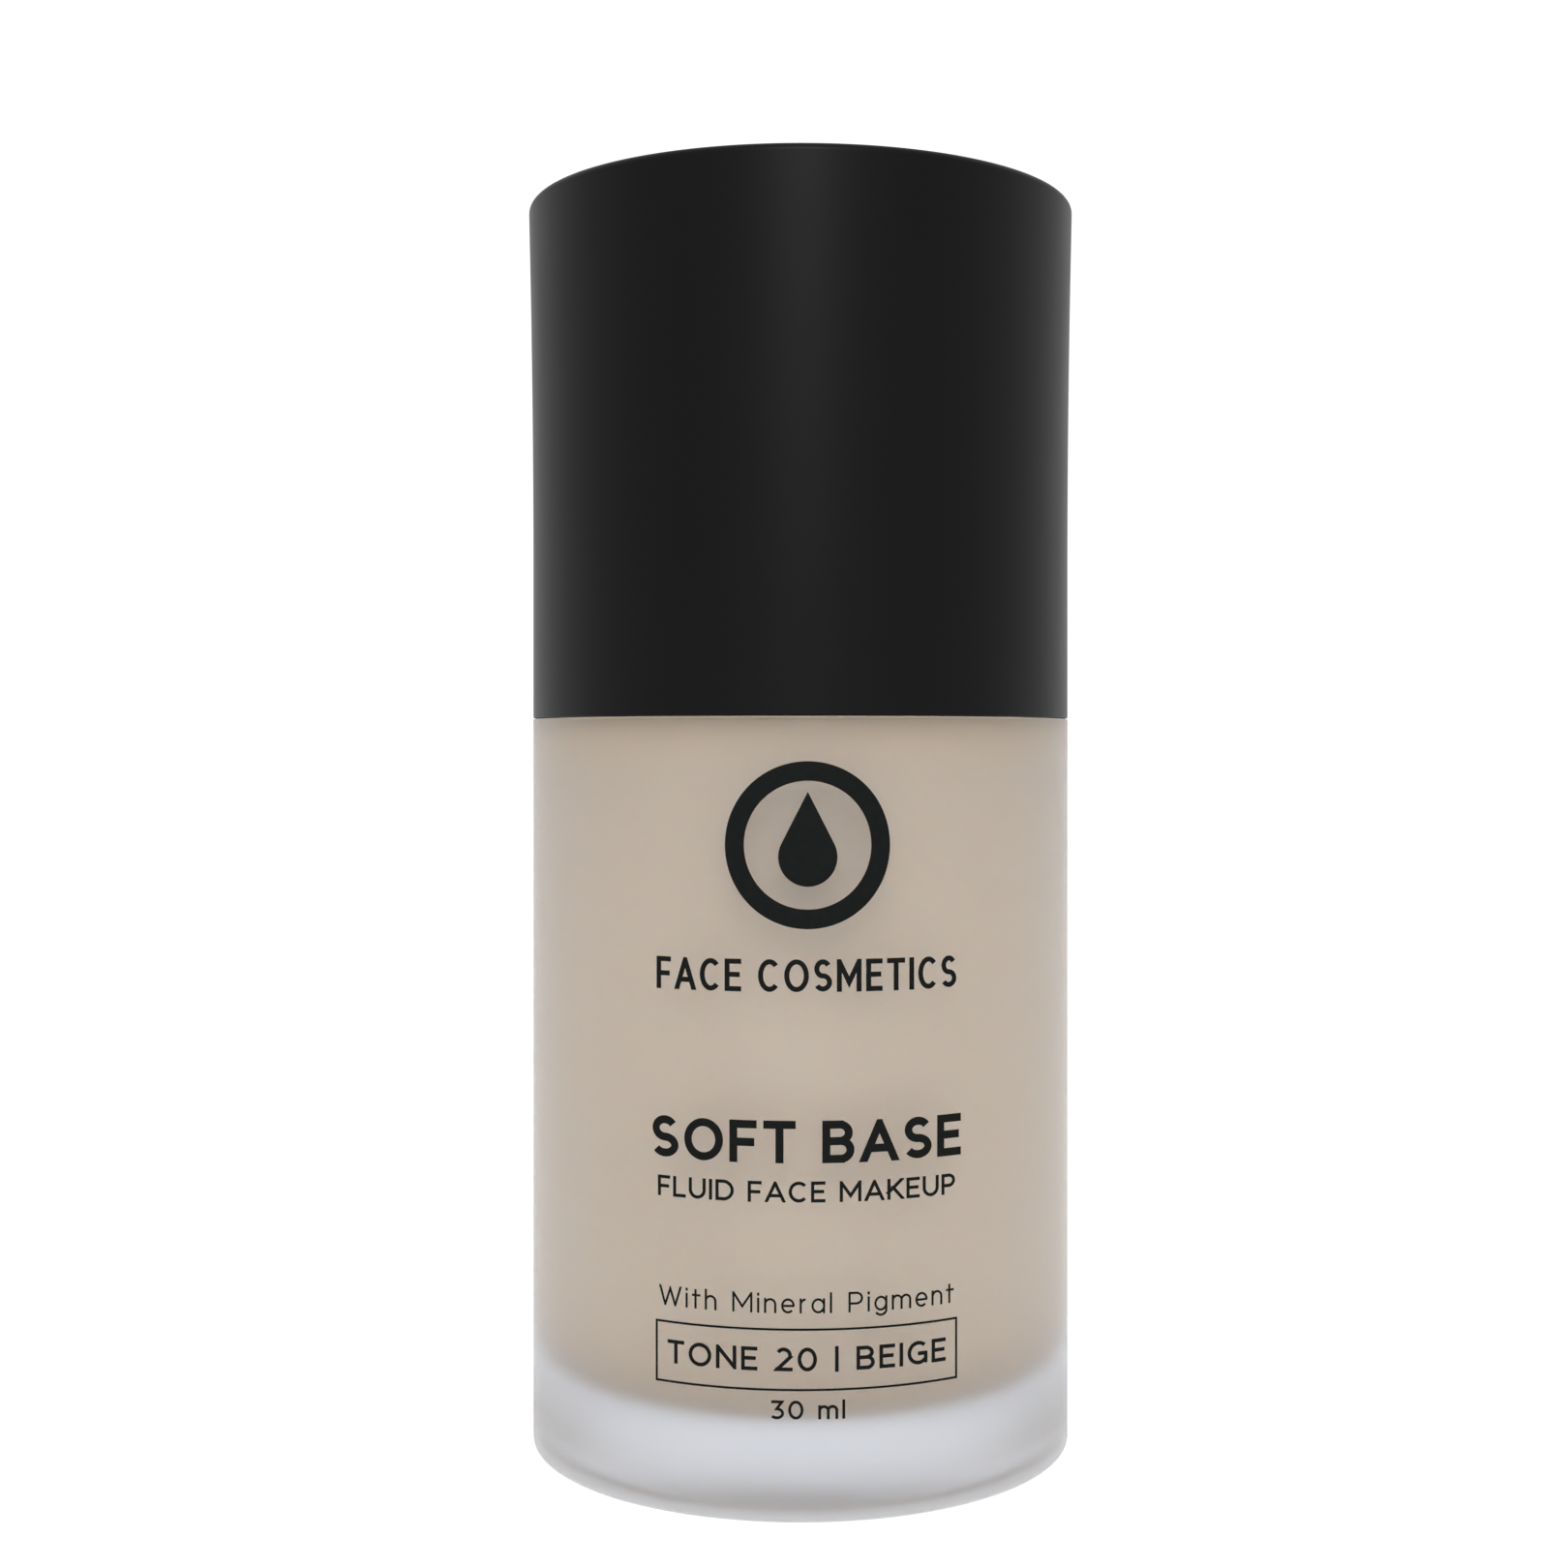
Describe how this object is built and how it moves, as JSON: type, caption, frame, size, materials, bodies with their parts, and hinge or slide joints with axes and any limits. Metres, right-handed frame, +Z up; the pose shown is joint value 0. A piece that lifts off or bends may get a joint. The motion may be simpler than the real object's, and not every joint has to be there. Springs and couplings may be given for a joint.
{
  "type": "foundation bottle",
  "caption": "Round thick-walled frosted glass bottle of liquid foundation, with a screw-on dispensing pump under a tall black pull-off overcap.",
  "frame": {"origin": "on the bottle's axis, at the plane that it stands on", "axes": "+Z up along the axis, -Y towards the printed front and the pump's nozzle, +X to the viewer's right when facing the front"},
  "size_m": [0.0376, 0.0376, 0.0847],
  "materials": {
    "frosted_glass": "satin",
    "foundation_beige": "satin",
    "print_black": "satin",
    "overcap_black": "satin",
    "liner_black": "satin",
    "pump_black": "gloss",
    "closure_black": "satin",
    "natural_plastic": "satin",
    "clear_tube": "satin",
    "white_seal": "satin",
    "foam_gasket": "matte",
    "spring_steel": "polished",
    "ball_steel": "polished"
  },
  "bodies": {
    "bottle": {"glass_bottle": "frosted_glass", "foundation_liquid": "foundation_beige"},
    "pump": {"pump_housing": "natural_plastic", "dip_tube": "clear_tube", "ball_retainer": "natural_plastic", "neck_gasket": "foam_gasket", "stem_guide": "natural_plastic", "return_spring": "spring_steel"},
    "collar": {"screw_collar": "closure_black", "collar_sleeve": "pump_black"},
    "plunger": {"pump_stem": "natural_plastic", "piston_rod": "natural_plastic"},
    "piston": {"piston_seal": "white_seal"},
    "actuator": {"actuator_button": "pump_black", "nozzle_insert": "pump_black"},
    "ball": {"inlet_ball": "ball_steel"},
    "overcap": {"overcap_shell": "overcap_black", "overcap_liner": "liner_black"}
  },
  "joints": [
    {"name": "pump_lift", "type": "slide", "parent": "bottle", "child": "pump", "axis": [0, 0, 1], "range_m": [0, 0.004]},
    {"name": "collar_twist", "type": "hinge", "parent": "pump", "child": "collar", "pos_m": [0, 0, 0.059], "axis": [0, 0, 1], "range_deg": [0, 450]},
    {"name": "overcap_pull", "type": "slide", "parent": "collar", "child": "overcap", "axis": [0, 0, 1], "range_m": [0, 0.04]},
    {"name": "pump_stroke", "type": "slide", "parent": "pump", "child": "plunger", "axis": [0, 0, -1], "range_m": [0, 0.0045], "stiffness_N_per_m": 830, "deforming": ["return_spring"]},
    {"name": "piston_slip", "type": "slide", "parent": "plunger", "child": "piston", "axis": [0, 0, 1], "range_m": [0, 0.0007]},
    {"name": "actuator_swivel", "type": "hinge", "parent": "plunger", "child": "actuator", "pos_m": [0, 0, 0.0724], "axis": [0, 0, 1], "continuous": true},
    {"name": "ball_lift", "type": "slide", "parent": "pump", "child": "ball", "axis": [0, 0, 1], "range_m": [0, 0.0011]}
  ],
  "couplings": [
    {"joint": "pump_lift", "follows": "collar_twist", "m_per_rad": 0.00050532}
  ]
}
